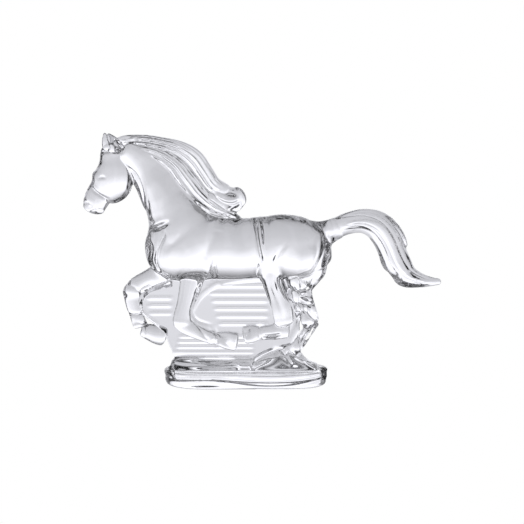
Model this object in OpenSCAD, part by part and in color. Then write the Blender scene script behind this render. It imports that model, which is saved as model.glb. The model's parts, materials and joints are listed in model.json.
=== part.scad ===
// Galloping horse, hot-worked crystal on a ribbed web and an oval base.
// Every mass of glass is its own solid and meets its neighbours face to face.
// Millimetres. +X points from the muzzle to the tail, -Y is the show side, +Z is up.
// The origin is the middle of the underside of the base.

/* [Figure] */
// Length from the muzzle to the tip of the tail
figure_length = 197; // [150:1:260]
// Height of the ear tips above the top face of the base plate
figure_height = 129; // [100:1:170]

/* [Body] */
// Width of the barrel and the croup, across the horse
body_width = 30; // [22:0.5:38]
// Width of the neck where it leaves the shoulders
neck_width = 25; // [18:0.5:32]
// Width of the head across the cheeks
head_width = 14; // [10:0.5:18]
// Length of an ear
ear_length = 8.8; // [7:0.5:13]
// Thickness of an ear across the horse
ear_width = 4.4; // [3:0.2:6]
// Depth of the step where the barrel meets the haunch
flank_step = 0.8; // [0.3:0.1:1.5]

/* [Legs] */
// Width of a leg at the knee or the hock, across the horse
leg_width = 9; // [7:0.5:12]
// How deep each leg is sunk into the web
leg_bond = 2; // [1:0.25:3]
// Width of a hoof over the width of the leg
hoof_flare = 1.12; // [1:0.02:1.3]

/* [Mane and tail] */
// Width of the mane across the horse
mane_width = 15; // [10:0.5:20]
// Width of the tail across the horse
tail_width = 13; // [9:0.5:18]
// Width of the single lock that lies over the bend of the tail
side_lock_width = 8; // [5:0.5:11]

/* [Web] */
// Thickness of the web between the legs
web_thickness = 8; // [6:0.5:11]
// Distance from one rib of the web to the next
rib_pitch = 4.2; // [3.2:0.1:6]
// Width of a rib
rib_width = 2.8; // [1.6:0.1:3]
// How far a rib stands out of the web
rib_height = 0.9; // [0.4:0.1:1.3]

/* [Base] */
// Height of the base plate
base_height = 9; // [6:0.5:14]
// Depth of the base plate, front to back
base_depth = 44; // [36:1:60]
// How far the base plate reaches past the foot of the web at each end
base_margin = 5.5; // [3:0.5:12]
// Radius of the rounded lower edge of the base plate
base_edge = 2; // [0.5:0.25:3]
// How far the side of the base plate leans in on its way down
base_draft = 1.2; // [0:0.2:4]
// Depth of the swell of ground on the base plate, front to back
ground_depth = 29; // [24:1:34]

/* [Hidden] */

// Colours of clear crystal, the thick masses a little cooler than the thin ones.
thick_glass = [0.86, 0.88, 0.91];
thin_glass = [0.92, 0.93, 0.95];
foot_glass = [0.80, 0.83, 0.86];

// The outlines below were drawn for a figure of this length and height; stretch turns them into
// the size that is asked for.
drawn_length = 197;
drawn_height = 129;
stretch_x = figure_length / drawn_length;
stretch_z = figure_height / drawn_height;

// Half the length of the web's foot as drawn, and the base that carries it.
foot_half = 40;
base_length = 2 * (foot_half * stretch_x + base_margin);
rib_sink = 0.35; // how far the middle of a rib lies inside the face of the web
base_corners = 5; // points along the rounded lower edge

sides = 20; // corners of a section through a mass
finer = 3;  // sections between two stations
leg_finer = 2;

// Where the legs stand, across the horse: sunk into the faces of the web.
leg_row = web_thickness / 2 + leg_width / 2 - leg_bond;
elbow_row = leg_row + 1.5; // the shoulders stand a little wider than the feet

// ---- Outlines. A station is [x, y, z, half height, half width]. Heights are above the base
// plate, and the half height is measured square to the line that the stations follow.

function widths(half, list) = [for (s = list) [s[0], s[1], s[2], s[3], s[4] * half]];
function in_row(row, half, list) = [for (s = list) [s[0], row, s[1], s[2], s[3] * half]];

trunk_line = widths(body_width / 2, [
    [-53, 0, 66, 8, 0.48], [-49, 0, 66, 13, 0.76], [-40, 0, 66, 16.8, 0.96], [-26, 0, 66.4, 17, 1],
    [-12, 0, 66.5, 16.8, 1], [0, 0, 66.4, 16.3, 0.97], [11.5, 0, 67.4, 15.9, 0.9],
]);
croup_line = widths(body_width / 2, [
    [10.4, 0, 67.4, 15.9 + flank_step, 0.9 + flank_step / 15], [18, 0, 67.6, 17.2, 1],
    [26, 0, 67.6, 16.8, 1.02], [34, 0, 66.8, 15.2, 0.96], [40, 0, 67.2, 13, 0.84],
    [44.4, 0, 68, 9.2, 0.58],
]);
neck_line = widths(neck_width / 2, [
    [-35, 0, 77, 16, 1], [-39.5, 0, 86.5, 15.4, 0.96], [-43.5, 0, 94.5, 14, 0.86],
    [-47.5, 0, 101.6, 13, 0.76], [-52.5, 0, 108, 11.4, 0.67], [-58.5, 0, 114, 9.2, 0.6],
    [-65, 0, 118.6, 7, 0.54],
]);
head_line = widths(head_width / 2, [
    [-72.8, 0, 117.8, 6.6, 0.76], [-72.4, 0, 113.8, 8, 0.88], [-72.2, 0, 110, 9.4, 0.97],
    [-72.6, 0, 106, 10.6, 1], [-74, 0, 102.2, 11, 1], [-76.4, 0, 99, 10, 0.93],
    [-79, 0, 96.4, 7.9, 0.8],
]);
muzzle_line = widths(head_width / 2, [
    [-78.4, 0, 98.2, 7.4, 0.7], [-80.8, 0, 94.8, 7.2, 0.74], [-82.4, 0, 91.4, 6.8, 0.76],
    [-83.4, 0, 88.4, 6, 0.7],
]);

// The ears lean forward from the poll; each is drawn along its own length.
function ear_line(x, z, lean, row, half) = [
    for (s = [[0, 1, 0.75], [0.3, 1, 0.9], [0.65, 0.72, 0.7], [1, 0.2, 0.3]])
        [x - ear_length * s[0] * sin(lean), row * (1 + 0.25 * s[0]), z + ear_length * s[0] * cos(lean),
         half * s[1], ear_width / 2 * s[2]]
];
ear_row = head_width * 0.32;
near_ear_line = ear_line(-70.2, 119.8, 27, -ear_row, 4.6);
far_ear_line = ear_line(-74.6, 120.2, 16, ear_row, 3.4);

forelock_line = [
    [-70.5, 0, 121.2, 2.4, 2.4], [-74.4, 0, 121.6, 2.5, 2.5], [-77.6, 0, 120, 2, 2],
    [-79, 0, 117.6, 1.3, 1.2],
];

mane_upper_line = widths(mane_width / 2, [
    [-66, 0, 125.2, 3.2, 0.5], [-56, 0, 125, 3.6, 0.66], [-46, 0, 123.4, 3.9, 0.76],
    [-36, 0, 120.4, 4.8, 0.84], [-28.5, 0, 115.4, 5.6, 0.86], [-23, 0, 108, 5.4, 0.84],
    [-18, 0, 101, 5, 0.8], [-11.5, 0, 97, 4.2, 0.72],
]);
mane_lower_line = widths(mane_width / 2, [
    [-58, 0, 120.5, 3.2, 0.66], [-48, 0, 117.6, 4.4, 0.84], [-39, 0, 112, 5.8, 0.98],
    [-32.5, 0, 103.5, 6.6, 1.04], [-26, 0, 95, 6.4, 1], [-18, 0, 88.6, 5.2, 0.94],
    [-11, 0, 86, 3.8, 0.8], [-4, 0, 83.2, 1.4, 0.4],
]);
mane_curl_line = widths(mane_width / 2, [
    [-19, 0, 93.6, 7, 0.8], [-12.5, 0, 92.4, 8.2, 0.82], [-7, 0, 93.2, 7.6, 0.72], [-3.6, 0, 94.8, 5.4, 0.54],
]);

tail_root_line = widths(tail_width / 2, [
    [42.5, 0, 74.4, 7, 0.9], [47, 0, 76, 6.4, 0.94], [50.5, 0, 77.6, 5.9, 0.9],
]);
tail_plume_line = widths(tail_width / 2, [
    [49, 0, 77, 5.6, 0.86], [56, 0, 79.9, 6.1, 0.92], [64.5, 0, 81.2, 6.9, 1], [72.3, 0, 78.4, 8.1, 1.02],
    [77.4, 0, 72, 8.2, 1], [80.2, 0, 65, 7.9, 0.96], [83, 0, 57.5, 8.2, 0.9], [88, 0, 51.3, 7, 0.78],
    [95.5, 0, 48.6, 4.4, 0.56], [102, 0, 47.8, 2.6, 0.4], [106, 0, 47.8, 1.8, 0.3],
]);
tail_side_line = widths(side_lock_width / 2, [
    [62, 0, 84.4, 2.6, 0.6], [70, 0, 84.6, 2.8, 0.9], [77, 0, 81.6, 3, 1], [82.4, 0, 76.4, 2.9, 1],
    [86, 0, 71, 2.2, 0.8], [87.6, 0, 67.6, 1.2, 0.5],
]);

// Each leg is an upper stretch, from the body to the knee or hock, and a cannon from there to the hoof.
leg_half = leg_width / 2;
near_forearm = widths(leg_half, [
    [-27.5, -elbow_row, 57, 8, 1.3], [-29, -elbow_row, 50, 7, 1.2], [-31, -leg_row - 0.6, 43, 5.6, 1.05],
    [-33, -leg_row, 36, 4.8, 0.96], [-34.8, -leg_row, 29.5, 4.8, 0.96], [-35.2, -leg_row, 26.8, 4.8, 0.96],
]);
near_fore_cannon = in_row(-leg_row, leg_half, [
    [-36, 26.6, 4.4, 0.94], [-33, 23.8, 4.4, 0.9], [-28, 21, 3.8, 0.82], [-22, 18.7, 3.6, 0.8],
    [-17.5, 17.4, 4, 0.87],
]);
near_fore_hoof_line = in_row(-leg_row, leg_half * hoof_flare, [
    [-17.5, 17.4, 3.2, 0.62], [-11.5, 16.3, 4.8, 0.9], [-5.5, 15.3, 5.1, 1],
]);
far_forearm = widths(leg_half, [
    [-44, elbow_row, 52, 8.4, 1.25], [-52, leg_row + 0.6, 48.4, 6.4, 1.1], [-60, leg_row, 44.6, 5.6, 1],
    [-63.6, leg_row, 41.6, 5, 0.97],
]);
far_fore_cannon = in_row(leg_row, leg_half, [
    [-64, 42, 4.6, 0.95], [-62.6, 34.5, 4.3, 0.88], [-60.8, 28, 3.8, 0.82], [-58.8, 22.5, 4.1, 0.86],
]);
far_fore_hoof_line = in_row(leg_row, leg_half * hoof_flare, [
    [-58.2, 20.5, 3.3, 0.62], [-53.6, 18.8, 4.6, 0.82], [-49.5, 17.6, 5.4, 0.95], [-45.6, 16.6, 5.2, 1],
]);
near_thigh = widths(leg_half, [
    [16.4, -elbow_row, 61, 7, 1.3], [13.8, -elbow_row, 54, 5.3, 1.26], [14.8, -leg_row - 0.6, 47, 4.9, 1.12],
    [17.7, -leg_row, 39, 5, 1], [20.3, -leg_row, 31.5, 5.7, 0.97], [21.6, -leg_row, 26.4, 5.8, 0.95],
]);
near_hind_cannon = in_row(-leg_row, leg_half, [
    [21.6, 22.2, 5, 0.93], [16, 20.9, 4.4, 0.85], [11.5, 20.4, 4, 0.82], [8.5, 20.2, 4, 0.87],
]);
near_hind_hoof_line = in_row(-leg_row, leg_half * hoof_flare, [
    [8.5, 20.3, 3.2, 0.62], [4, 19.8, 4.8, 0.9], [-0.5, 19, 4.9, 1],
]);
far_thigh = widths(leg_half, [
    [30, elbow_row, 63, 14, 1.5], [31, elbow_row, 55, 12.4, 1.5], [30.8, elbow_row, 50, 10, 1.42],
    [30.4, elbow_row, 45, 7.8, 1.3], [30.2, leg_row + 0.6, 41.4, 7, 1.15], [31, leg_row, 35.8, 6.4, 1.05],
    [33.5, leg_row, 29.8, 6, 1], [35.4, leg_row, 25.2, 5.3, 0.95],
]);
far_hind_cannon = in_row(leg_row, leg_half, [
    [36.2, 24.8, 4.6, 0.92], [32.6, 18.4, 4, 0.85], [29.4, 13, 3.7, 0.83], [26.5, 10.2, 4, 0.87],
]);
far_hind_hoof_line = in_row(leg_row, leg_half * hoof_flare, [
    [26.5, 10.2, 3.2, 0.62], [19, 7.2, 4.6, 0.92], [11, 4.2, 4.6, 1], [5.5, 2.4, 3.4, 0.94],
]);

// The ground rises to a low swell under the forefeet and a higher one under the hind hoof.
ground_line = widths(ground_depth / 2, [
    [-39.5, 0, 0, 5, 0.7], [-34, 0, 0, 6.4, 0.9], [-20, 0, 0, 5.4, 0.97], [0, 0, 0, 4.6, 1],
    [12, 0, 0, 5.6, 1], [21, 0, 0, 8.4, 0.97], [28, 0, 0, 8.2, 0.92], [33.5, 0, 0, 4.6, 0.86],
    [38.5, 0, 0, 2.4, 0.8],
]);

// Outline of the web, from its left foot over the top to its right foot.
web_outline = [
    [-foot_half, 0], [-39.5, 5.5], [-40.5, 9], [-42.5, 13.5], [-45, 20], [-51, 25], [-57, 30], [-59, 36],
    [-58, 41], [-50, 45.5], [-38, 50], [-20, 52], [0, 54], [14, 56], [27, 55], [30, 46], [29, 38], [31, 30],
    [30, 22], [29, 14], [30.5, 8], [34, 4], [foot_half, 0],
];
// The ribs: [left end, right end, height of the lowest one, how many, lean of the left ends].
rib_panels = [[-13, 10, 24.6, 6, -1.2], [-51, -43, 30.4, 3, -0.8], [-37, -4, 8.2, 3, 0]];

// ---- Skins over the outlines

// A point on the smooth line through a, b, c and d, at t between b and c.
function on_line(a, b, c, d, t) =
    0.5 * (2 * b + (c - a) * t + (2 * a - 5 * b + 4 * c - d) * t * t + (3 * b - a - 3 * c + d) * t * t * t);

function refine(s, n) = [
    for (i = [0 : len(s) - 2]) for (k = [0 : n - 1])
        on_line(s[max(i - 1, 0)], s[i], s[i + 1], s[min(i + 2, len(s) - 1)], k / n),
    s[len(s) - 1],
];

// Direction of the line at station i, seen from the side.
function heading(s, i) =
    let (a = s[max(i - 1, 0)], b = s[min(i + 1, len(s) - 1)], d = [b[0] - a[0], b[2] - a[2]]) d / norm(d);

// A station as far past the end as the dome reaches, shrunk as the dome shrinks.
function dome(s, d, reach, turn) = [
    s[0] + d[0] * reach * sin(turn), s[1], s[2] + d[1] * reach * sin(turn), s[3] * cos(turn), s[4] * cos(turn),
];

// The ring of points round a station.
function ring(s, d) = [
    for (k = [0 : sides - 1])
        let (a = 360 * k / sides, up = s[3] * cos(a), out = s[4] * sin(a))
            [(s[0] - d[1] * up) * stretch_x, s[1] + out, (s[2] + d[0] * up) * stretch_z],
];

// A closed skin over the stations, with a dome of the given reach at each end.
module skin(line, reach = [2, 2], n = finer) {
    s = refine(line, n);
    last = len(s) - 1;
    first_way = heading(s, 0);
    last_way = heading(s, last);
    turns = [72, 40];
    rings = [
        for (t = turns) ring(dome(s[0], -first_way, reach[0], t), first_way),
        for (i = [0 : last]) ring(s[i], heading(s, i)),
        for (t = [turns[1], turns[0]]) ring(dome(s[last], last_way, reach[1], t), last_way),
    ];
    count = len(rings);
    tube_faces = [
        for (r = [0 : count - 2]) for (k = [0 : sides - 1])
            let (a = r * sides + k, b = r * sides + (k + 1) % sides) each [
                [a, b, b + sides],
                [a, b + sides, a + sides],
            ],
    ];
    end_faces = [
        [for (k = [sides - 1 : -1 : 0]) k],
        [for (k = [0 : sides - 1]) (count - 1) * sides + k],
    ];
    polyhedron(points = [for (r = rings) each r], faces = concat(tube_faces, end_faces), convexity = 6);
}

// One mesh of everything inside, raised onto the base plate. A size of zero leaves the size as it is.
module glass() {
    translate([0, 0, base_height])
        resize([0, 0, 0])
            children();
}

module trunk_mass() skin(trunk_line, [1.6, 0.2]);
module croup_mass() skin(croup_line, [0.2, 1.8]);
module neck_mass() skin(neck_line, [1, 3]);
module head_mass() skin(head_line, [2.4, 1.4]);
module muzzle_mass() skin(muzzle_line, [1, 3.2]);
module near_ear_mass() skin(near_ear_line, [2, 0.6], leg_finer);
module far_ear_mass() skin(far_ear_line, [2, 0.6], leg_finer);
module mane_upper_mass() skin(mane_upper_line, [1.5, 2.4], leg_finer);
module mane_lower_mass() skin(mane_lower_line, [2, 1], leg_finer);
module mane_curl_mass() skin(mane_curl_line, [2, 3.4], leg_finer);
module tail_root_mass() skin(tail_root_line, [1, 1]);
module tail_plume_mass() skin(tail_plume_line, [1, 1.4], leg_finer);

module leg_mass(upper, cannon) {
    skin(upper, [1, 3], leg_finer);
    skin(cannon, [2.6, 1], leg_finer);
}
module near_foreleg_mass() leg_mass(near_forearm, near_fore_cannon);
module far_foreleg_mass() leg_mass(far_forearm, far_fore_cannon);
module near_hindleg_mass() leg_mass(near_thigh, near_hind_cannon);
module far_hindleg_mass() leg_mass(far_thigh, far_hind_cannon);

module hoof_mass(line) skin(line, [0.6, 1.2], leg_finer);
module body_masses() {
    trunk_mass();
    croup_mass();
}

// ---- Base, ground and web

// Half of the section through the base plate: flat underside, rounded lower edge, leaning side.
module base_section()
    polygon([
        [0, 0],
        for (k = [0 : base_corners])
            let (turn = 90 * k / base_corners)
                [base_depth / 2 - base_draft - base_edge * (1 - sin(turn)), base_edge * (1 - cos(turn))],
        [base_depth / 2, base_height],
        [0, base_height],
    ]);

module base_plate() {
    straight = base_length - base_depth;
    color(foot_glass)
        union() {
            for (side = [-1, 1])
                translate([side * straight / 2, 0, 0])
                    rotate([0, 0, side * 90 - 180])
                        rotate_extrude(angle = 180, $fn = 96)
                            base_section();
            for (turn = [0, 180])
                rotate([0, 0, turn])
                    translate([-straight / 2, 0, 0])
                        rotate([90, 0, 90])
                            linear_extrude(straight)
                                base_section();
        }
}

module web_plate() {
    rotate([90, 0, 0])
        linear_extrude(web_thickness, center = true)
            polygon([for (p = web_outline) [p[0] * stretch_x, p[1] * stretch_z]]);
}

// A half-round ridge along one face of the web, ending in points.
module rib(left, right, height, side) {
    translate([left * stretch_x, side * (web_thickness / 2 - rib_sink), height * stretch_z])
        scale([1, (rib_height + rib_sink) / (rib_width / 2), 1])
            rotate([0, 90, 0]) {
                long = (right - left) * stretch_x;
                cylinder(h = long, d = rib_width, $fn = 12);
                translate([0, 0, long])
                    cylinder(h = rib_width, d1 = rib_width, d2 = rib_width / 4, $fn = 12);
                translate([0, 0, -rib_width])
                    cylinder(h = rib_width, d1 = rib_width / 4, d2 = rib_width, $fn = 12);
            }
}

module web_ribs() {
    for (panel = rib_panels) for (k = [0 : panel[3] - 1]) for (side = [-1, 1])
        rib(panel[0] + panel[4] * k, panel[1], panel[2] + rib_pitch * k, side);
}

module ground_mass() skin(ground_line, [2.6, 1.6], leg_finer);

module ground_swell()
    color(foot_glass)
        glass()
            difference() {
                ground_mass();
                under_base();
                web_plate();
                far_hindleg_mass();
                hoof_mass(far_hind_hoof_line);
            }

module support_web()
    color(thin_glass)
        glass()
            difference() {
                union() {
                    web_plate();
                    web_ribs();
                }
                body_masses();
                near_foreleg_mass();
                far_foreleg_mass();
                near_hindleg_mass();
                far_hindleg_mass();
                hoof_mass(near_fore_hoof_line);
                hoof_mass(far_fore_hoof_line);
                hoof_mass(near_hind_hoof_line);
                hoof_mass(far_hind_hoof_line);
                under_base();
            }

// Everything below the top face of the base plate.
module under_base()
    translate([-figure_length, -base_depth, -base_height * 2])
        cube([figure_length * 2, base_depth * 2, base_height * 2]);

// ---- Body and head

module trunk()
    color(thick_glass)
        glass()
            trunk_mass();

module hindquarters()
    color(thick_glass)
        glass()
            difference() {
                croup_mass();
                trunk_mass();
            }

module neck()
    color(thick_glass)
        glass()
            difference() {
                neck_mass();
                trunk_mass();
                head_mass();
            }

module head()
    color(thick_glass)
        glass()
            head_mass();

module muzzle()
    color(thin_glass)
        glass()
            difference() {
                muzzle_mass();
                head_mass();
            }

module near_ear()
    color(thin_glass)
        glass()
            difference() {
                near_ear_mass();
                head_mass();
                neck_mass();
            }

module far_ear()
    color(thin_glass)
        glass()
            difference() {
                far_ear_mass();
                head_mass();
                neck_mass();
                near_ear_mass();
            }

module forelock()
    color(thin_glass)
        glass()
            difference() {
                skin(forelock_line, [1, 0.8], leg_finer);
                head_mass();
                near_ear_mass();
                far_ear_mass();
            }

// ---- Mane and tail

module mane_upper_lock()
    color(thin_glass)
        glass()
            difference() {
                mane_upper_mass();
                neck_mass();
                head_mass();
                near_ear_mass();
                far_ear_mass();
            }

module mane_lower_lock()
    color(thin_glass)
        glass()
            difference() {
                mane_lower_mass();
                mane_upper_mass();
                neck_mass();
                trunk_mass();
                head_mass();
            }

module mane_curl()
    color(thin_glass)
        glass()
            difference() {
                mane_curl_mass();
                mane_upper_mass();
                mane_lower_mass();
                trunk_mass();
                neck_mass();
            }

module tail_root()
    color(thin_glass)
        glass()
            difference() {
                tail_root_mass();
                croup_mass();
            }

module tail_plume()
    color(thin_glass)
        glass()
            difference() {
                tail_plume_mass();
                tail_root_mass();
            }

module tail_side_lock()
    color(thin_glass)
        glass()
            difference() {
                skin(tail_side_line, [1, 0.8], leg_finer);
                tail_plume_mass();
            }

// ---- Legs and hooves

module near_foreleg()
    color(thick_glass)
        glass()
            difference() {
                near_foreleg_mass();
                body_masses();
            }

module far_foreleg()
    color(thick_glass)
        glass()
            difference() {
                far_foreleg_mass();
                body_masses();
            }

module near_hindleg()
    color(thick_glass)
        glass()
            difference() {
                near_hindleg_mass();
                body_masses();
            }

module far_hindleg()
    color(thick_glass)
        glass()
            difference() {
                far_hindleg_mass();
                body_masses();
            }

module near_fore_hoof()
    color(foot_glass)
        glass()
            difference() {
                hoof_mass(near_fore_hoof_line);
                near_foreleg_mass();
            }

module far_fore_hoof()
    color(foot_glass)
        glass()
            difference() {
                hoof_mass(far_fore_hoof_line);
                far_foreleg_mass();
            }

module near_hind_hoof()
    color(foot_glass)
        glass()
            difference() {
                hoof_mass(near_hind_hoof_line);
                near_hindleg_mass();
            }

module far_hind_hoof()
    color(foot_glass)
        glass()
            difference() {
                hoof_mass(far_hind_hoof_line);
                far_hindleg_mass();
                under_base();
            }

base_plate();
ground_swell();
support_web();
trunk();
hindquarters();
neck();
head();
muzzle();
near_ear();
far_ear();
forelock();
mane_upper_lock();
mane_lower_lock();
mane_curl();
tail_root();
tail_plume();
tail_side_lock();
near_foreleg();
far_foreleg();
near_hindleg();
far_hindleg();
near_fore_hoof();
far_fore_hoof();
near_hind_hoof();
far_hind_hoof();
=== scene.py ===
"""Galloping horse in clear crystal: the masses of the figurine are fused into one casting, with the
strands of the mane and tail, the ribs of the web and the lines of the muscles worked into its skin,
and the casting is then kept as one closed piece for each mass."""

import json

import bpy
import numpy as np
from bpy.props import FloatProperty, FloatVectorProperty, IntProperty, PointerProperty
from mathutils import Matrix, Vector


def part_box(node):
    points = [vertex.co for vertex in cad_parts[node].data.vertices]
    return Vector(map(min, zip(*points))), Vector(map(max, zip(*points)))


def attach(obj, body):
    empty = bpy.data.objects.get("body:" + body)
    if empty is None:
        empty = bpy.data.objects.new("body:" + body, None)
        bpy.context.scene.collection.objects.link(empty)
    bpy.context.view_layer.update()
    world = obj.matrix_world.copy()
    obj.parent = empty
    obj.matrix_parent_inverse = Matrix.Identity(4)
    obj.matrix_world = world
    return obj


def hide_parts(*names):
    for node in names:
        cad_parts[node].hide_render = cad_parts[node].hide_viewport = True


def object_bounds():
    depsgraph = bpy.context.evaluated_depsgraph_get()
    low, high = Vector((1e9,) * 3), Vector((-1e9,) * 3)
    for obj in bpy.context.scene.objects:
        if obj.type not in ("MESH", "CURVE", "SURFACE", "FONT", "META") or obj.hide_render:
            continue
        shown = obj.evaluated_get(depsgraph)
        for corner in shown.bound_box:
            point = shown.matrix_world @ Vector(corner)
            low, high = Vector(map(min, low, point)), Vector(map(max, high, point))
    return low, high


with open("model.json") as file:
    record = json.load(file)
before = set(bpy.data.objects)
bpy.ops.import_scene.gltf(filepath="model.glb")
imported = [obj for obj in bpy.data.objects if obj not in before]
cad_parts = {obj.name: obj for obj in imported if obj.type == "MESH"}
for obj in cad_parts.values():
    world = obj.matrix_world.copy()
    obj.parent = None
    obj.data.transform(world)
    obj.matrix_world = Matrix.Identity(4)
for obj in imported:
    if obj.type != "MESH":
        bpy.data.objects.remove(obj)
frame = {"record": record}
CAD_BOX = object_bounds()

bl_info = {
    "name": "Crystal horse",
    "version": (1, 0, 0),
    "blender": (4, 5, 0),
    "location": "View3D > Sidebar > Crystal horse",
    "description": "Makes a cast crystal horse at a gallop, and the studio it stands in",
    "category": "Object",
}

MM = 0.001
SEAM = "fused_seam"


# ---- Sizes taken from the frame, in millimetres

def side(node, axis):
    """Length of a node's box along an axis."""
    low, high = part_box(node)
    return (high[axis] - low[axis]) / MM


BASE_LENGTH, BASE_DEPTH, BASE_TOP = side("base_plate", 0), side("base_plate", 1), side("base_plate", 2)
DRAWN_LENGTH, DRAWN_HEIGHT = 196.48, 129.27  # the horse that the outlines below are drawn for
LONG = (CAD_BOX[1][0] - CAD_BOX[0][0]) / MM / DRAWN_LENGTH
TALL = (CAD_BOX[1][2] / MM - BASE_TOP) / DRAWN_HEIGHT
BODY = side("trunk", 1) / 2
CREST = side("neck", 1) / 2
CHEEK = side("head", 1) / 2
LOCK = side("mane_lower_lock", 1) / 2
BRUSH = side("tail_plume", 1) / 2
RIB_STANDS, HOOF_FLARE = 0.9, 1.12  # how the part's source widens the web and the hooves
WEB = side("support_web", 1) / 2 - RIB_STANDS
LEG = side("far_fore_hoof", 1) / 2 / HOOF_FLARE
ROW = (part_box("far_fore_hoof")[0][1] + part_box("far_fore_hoof")[1][1]) / 2 / MM


# ---- Outlines. A station is (x, height over the base plate, half height square to the line,
# half width across the horse).

def mass(name, row, half, reach, soft, stations, relief=()):
    """One mass of glass: a rounded body swept through its stations, and how softly it joins the rest."""
    return {"name": name, "row": row, "half": half, "reach": reach, "soft": soft,
            "stations": stations, "relief": relief}


class HorseSettings(bpy.types.PropertyGroup):
    cell: FloatProperty(name="Cell", description="Size of a cell of the casting, in millimetres",
                        default=0.5, min=0.3, max=1.5)
    smoothing: IntProperty(name="Fire polish", description="How many times the skin is smoothed", default=8)
    ior: FloatProperty(name="Refractive index", description="Refractive index of the crystal",
                       default=1.54, min=1.3, max=1.8)
    tint: FloatVectorProperty(name="Tint", description="Colour of the crystal", subtype="COLOR", size=4,
                              default=(0.985, 0.985, 1.0, 1.0))
    ripple: FloatProperty(name="Ripple", description="Depth of the ripple left by the fire polish",
                          default=0.02, min=0.0, max=1.0)
    strand_depth: FloatProperty(name="Strand depth", description="Depth of the grooves in the mane and tail, "
                                "in millimetres", default=1.3, min=0.0, max=2.5)
    rib_height: FloatProperty(name="Rib height", description="How far a rib stands out of the web, "
                              "in millimetres", default=0.5, min=0.0, max=2.0)


class StudioSettings(bpy.types.PropertyGroup):
    distance: FloatProperty(name="Distance", description="From the camera to the horse", default=0.8,
                            unit="LENGTH")
    width: FloatProperty(name="Width", description="Width of the picture at the horse", default=0.2882,
                         unit="LENGTH")
    elevation: FloatProperty(name="Elevation", description="Height of the camera as an angle", default=0.0873,
                             subtype="ANGLE", unit="ROTATION")
    paper: FloatVectorProperty(name="Paper", description="Colour of the floor and the background",
                               subtype="COLOR", size=4, default=(1.0, 1.0, 1.0, 1.0))


# ---- The field: how far each point is from the skin of a mass

def spline(points, per):
    """Points along a smooth line through the given ones."""
    p = np.asarray(points, float)
    ends = np.vstack([2 * p[0] - p[1], p, 2 * p[-1] - p[-2]])
    t = (np.arange(per) / per)[None, :, None]
    a, b, c, d = (ends[i:len(p) - 1 + i, None, :] for i in range(4))
    rows = 0.5 * (2 * b + (c - a) * t + (2 * a - 5 * b + 4 * c - d) * t**2 + (3 * b - a - 3 * c + d) * t**3)
    return np.vstack([rows.reshape(-1, p.shape[1]), p[-1:]])


def placed(points):
    """Outline points (x, height, ...) moved to the frame: stretched to its length and set on the base."""
    p = np.asarray(points, float).copy()
    p[:, 0] *= LONG
    p[:, 1] = p[:, 1] * TALL + BASE_TOP
    return p


def nearest(line, x, z):
    """For each point of an x, z map: distance along past the ends, signed distance across, and the
    line's own values there."""
    best = np.full((len(x), len(z)), 1e9)
    past, across = np.zeros_like(best), np.zeros_like(best)
    values = np.zeros(best.shape + (line.shape[1] - 2,))
    run = np.zeros_like(best)
    length = 0.0
    gx, gz = x[:, None], z[None, :]
    last = len(line) - 2
    for i in range(len(line) - 1):
        a, b = line[i], line[i + 1]
        d = b[:2] - a[:2]
        span = float(np.hypot(*d))
        d = d / span
        ux, uz = gx - a[0], gz - a[1]
        s = ux * d[0] + uz * d[1]
        t = np.clip(s, 0, span)
        n = -ux * d[1] + uz * d[0]
        over = s - t
        score = np.hypot(n, over)
        hit = score < best
        best[hit] = score[hit]
        gone = over if i in (0, last) else np.zeros_like(over)
        past[hit] = gone[hit]
        across[hit] = np.where(hit, np.sign(n) * np.hypot(n, over - gone), 0)[hit]
        share = (t / span)[hit][:, None]
        values[hit] = a[2:] + (b[2:] - a[2:]) * share
        run[hit] = (length + t)[hit]
        length += span
    return softened(past), softened(across), softened(values), softened(run), length


def softened(field, rounds=5):
    """The map with the small facets of its line evened out."""
    for _ in range(rounds):
        for axis in (0, 1):
            field = np.moveaxis(field, axis, 0)
            ends = np.concatenate([field[:1], field, field[-1:]])
            field = np.moveaxis((ends[:-2] + 2 * field + ends[2:]) / 4, 0, axis)
    return field


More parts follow.
